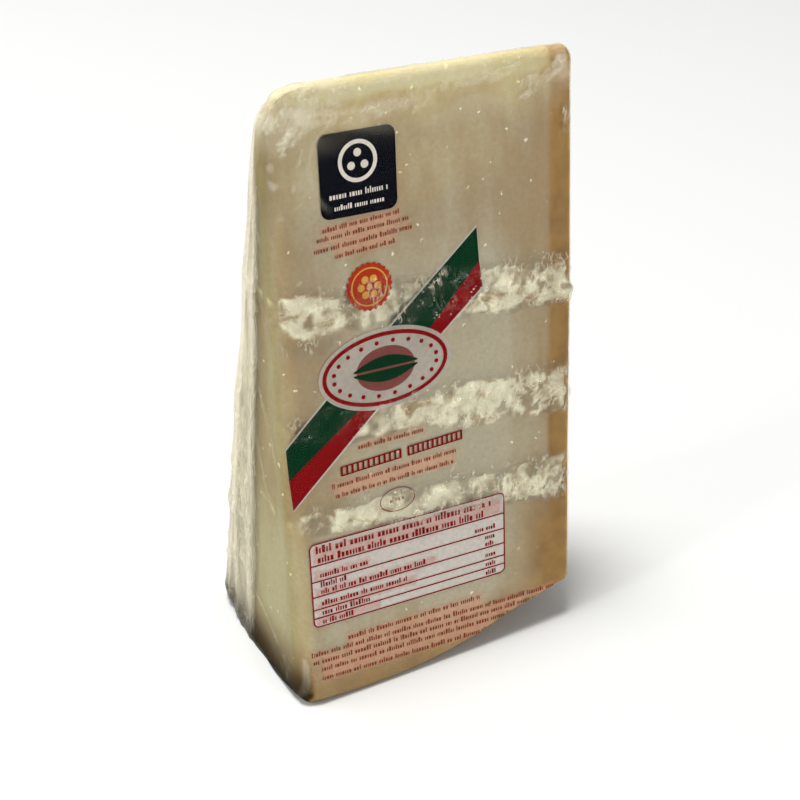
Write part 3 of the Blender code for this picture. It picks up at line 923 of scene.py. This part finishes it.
table = {
    "low": (-48, 30.6), "high": (26.4, 62.2), "radius": 2.2, "rule": 0.48,
    "rules": (54, 48, 42.3, 37.5, 34.2), "headTint": 53.5,
    "tintInset": 0.5, "tintReach": (0.6, 4.2),
    "rowTints": ((48.4, 23), (41.8, 48), (36.4, 40), (31.2, 26)),  # height and width
    "heads": (((-45.5, 58.4), (22, 58.2), 2.7, 11), ((-45, 54.8), (20, 54.6), 2.6, 12)),
    # Rows: height, width of the words at the left and of the number at the right
    "rows": ((49.2, 18, 8), (45.6, 10, 4), (43, 40, 4), (38.6, 32, 4), (35, 18, 4), (31.6, 12, 4)),
    "rowsFrom": -44.5, "rowsTo": 22.5, "words": 2, "number": 1.8,
}
finePrint = {
    "seed": 30, "margin": 1.8,
    # Blocks of rows: start, end and height
    "blocks": (
        (((-28.2, 92), (-4.2, 92.5), 1.7),),
        (((-38.3, 80.2), (8.3, 82), 1.7), ((-37.1, 76.6), (7.5, 78.2), 1.7)),
        (((-36.4, 166.4), (-10, 168.2), 1.6), ((-38.5, 163.6), (-7, 165.6), 1.6),
         ((-39.6, 160.2), (-4.6, 162.6), 1.7), ((-32.6, 157.6), (-11.5, 159), 1.6)),
        (((-35.5, 22.6), (16.6, 22.8), 1.9), ((-49.5, 19.6), (48, 18.4), 1.9),
         ((-49, 16.4), (44.4, 15.6), 1.9), ((-46, 13.2), (34, 12.6), 1.9), ((-46, 9.6), (22.5, 8.8), 1.9)),
    ),
}
ladderRule = {
    "runs": (((-34.5, 84), (-13, 85.1)), ((-10, 85.2), (10, 86.2))),
    "rails": (0.2, 3.2), "rail": 0.5, "spacing": 1.9, "rung": 0.75, "height": 3.4,
}
ovalMark = {"centre": (-14.8, 70.4), "outer": (6.6, 4.4), "inner": (6.25, 4.05),
            "row": ((-17.6, 69.6), (-12, 69.8), 1.5, 28)}


def around(centre, radii, count, turn=0.0):  # places spread evenly round a centre
    turns = [turn + 2 * math.pi * i / count for i in range(count)]
    return [(centre[0] + radii[0] * math.cos(a), centre[1] + radii[1] * math.sin(a)) for a in turns]


def circle(centre, radius, steps=48):
    return oval(centre, (radius, radius), steps)


def spread(edge, centre, amount):  # moves an outline's points away from a line by a set amount
    moved = []
    for (x, z), (centreX, centreZ) in zip(edge, centre):
        away = Vector((x - centreX, z - centreZ)).normalized() * amount
        moved.append((x + away.x, z + away.y))
    return moved


def ribbonHalf(edge, split, stretch):  # one length of one colour of the ribbon
    return [edge[stretch], edge[stretch + 1], split[stretch + 1], split[stretch]]


def makePrint(surface):
    split, green, red = ribbon["split"], ribbon["greenEdge"], ribbon["redEdge"]
    paleGreen = spread(green, split, ribbon["outline"])
    paleRed = spread(red, split, ribbon["outline"])
    printInk("ink_ribbon_green", [ribbonHalf(green, split, i) for i in range(3)], "green", "low", surface)
    printInk("ink_ribbon_red", [ribbonHalf(red, split, i) for i in range(3)], "red", "low", surface)
    printInk("ink_ribbon_outline", [ribbonHalf(paleGreen, paleRed, i) for i in range(3)], "pale", "lowest",
             surface)
    print("ribbon is printed")

    centre, radii, rim = emblem["centre"], emblem["radii"], emblem["rim"]
    halo = (radii[0] + rim, radii[1] + rim)
    field = (radii[0] - rim, radii[1] - rim)
    leafFaces = []
    for low, high in ((0, 1), (0, -1)):  # the leaf's halves, either side of a pale vein
        edge = [(centre[0] + emblem["leaf"][0] * (i / 12 - 1), i / 24) for i in range(25)]
        outline = [(x, centre[1] + high * (emblem["vein"] / 2 + emblem["leaf"][1] * math.sin(math.pi * t)))
                   for x, t in edge]
        base = [(x, centre[1] + high * emblem["vein"] / 2) for x, t in edge]
        leafFaces += [[base[i], base[i + 1], outline[i + 1], outline[i]] for i in range(1, 23)]
    count = emblem["dots"]
    dots = [circle(place, emblem["dot"], 12)
            for place in around(centre, emblem["dotsAt"], count, math.pi / count)]
    printInk("ink_emblem_halo", [oval(centre, halo)], "mist", "middle", surface)
    printInk("ink_emblem_disc", [oval(centre, emblem["disc"])], "red", "upper", surface)
    printInk("ink_emblem_rim", ring(oval(centre, radii), oval(centre, field)) + dots, "red", "top", surface)
    printInk("ink_emblem_leaf", leafFaces, "green", "top", surface)
    print("emblem is printed")

    plate = roundedBox(badge["low"], badge["high"], badge["radius"])
    printInk("ink_badge", [plate], "navy", "middle", surface)
    centre, reach = badge["ringAt"], badge["dotsAt"]
    pale = ring(*[circle(centre, radius) for radius in badge["ring"]])
    pale += [circle(place, badge["dot"], 16)
             for place in around(centre, (reach, reach), badge["dots"], math.pi / 2)]
    for row in badge["rows"]:
        pale += greeked(*row)
    printInk("ink_badge_marks", pale, "pale", "top", surface)

    centre, reach = seal["centre"], seal["petalsAt"]
    edge = oval(centre, (seal["radius"], seal["radius"]), 144, seal["scallops"], seal["scallopDepth"])
    printInk("ink_seal", [edge], "orange", "middle", surface)
    gold = ring(*[circle(centre, radius) for radius in seal["ring"]])
    gold += [circle(place, seal["petal"], 16) for place in around(centre, (reach, reach), seal["petals"])]
    gold += [circle(centre, seal["core"], 16)]
    printInk("ink_seal_marks", gold, "yellow", "top", surface)
    print("badge and seal are printed")

    low, high, rule = table["low"], table["high"], table["rule"]
    inside = ((low[0] + rule, low[1] + rule), (high[0] - rule, high[1] - rule))
    frameFaces = ring(roundedBox(low, high, table["radius"]), roundedBox(*inside, table["radius"] - rule))
    frameFaces += [stroke((low[0], z), (high[0], z), rule) for z in table["rules"]]
    printInk("ink_table_field", [roundedBox(low, high, table["radius"])], "field", "low", surface)
    inset, (below, above) = table["tintInset"], table["tintReach"]
    tints = [roundedBox((low[0] + inset, table["headTint"]), (high[0] - inset, high[1] - inset), 1.5)]
    tints += [roundedBox((low[0] + inset, z - below), (low[0] + wide, z + above), 1)
              for z, wide in table["rowTints"]]
    printInk("ink_table_tint", tints, "rose", "middle", surface)
    rows = []
    for head in table["heads"]:
        rows += greeked(*head)
    left, right = table["rowsFrom"], table["rowsTo"]
    for z, wide, number in table["rows"]:
        rows += greeked((left, z), (left + wide, z), table["words"], int(z * 10))
        rows += greeked((right - number, z), (right, z), table["number"], int(z * 10) + 1)
    printInk("ink_table_rules", frameFaces + rows, "red", "top", surface)
    print("table is printed")

    fine = []
    lines = [line for block in finePrint["blocks"] for line in block]
    for index, (start, end, height) in enumerate(lines):
        fine += greeked(start, end, height, finePrint["seed"] + index)
    printInk("ink_fine_print", fine, "brown", "top", surface)
    blocks = [blockOutline(block, finePrint["margin"]) for block in finePrint["blocks"]]
    printInk("ink_fine_tint", blocks, "tint", "low", surface)
    ladder = []
    for start, end in ladderRule["runs"]:
        for lift in ladderRule["rails"]:
            ladder.append(stroke((start[0], start[1] + lift), (end[0], end[1] + lift), ladderRule["rail"]))
        steps = round((end[0] - start[0]) / ladderRule["spacing"])
        for i in range(steps + 1):
            x = start[0] + (end[0] - start[0]) * i / steps
            z = start[1] + (end[1] - start[1]) * i / steps
            ladder.append(stroke((x, z), (x, z + ladderRule["height"]), ladderRule["rung"]))
    printInk("ink_ladder_rule", ladder, "red", "top", surface)
    mark = ovalMark["centre"]
    thin = ring(oval(mark, ovalMark["outer"]), oval(mark, ovalMark["inner"])) + greeked(*ovalMark["row"])
    printInk("ink_oval_mark", thin, "brown", "top", surface)
    print("fine print is laid")


makeStudio()
print("studio, floor and camera are set")
makeCheese()
filmSurface = makeFilm()
makePrint(filmSurface)
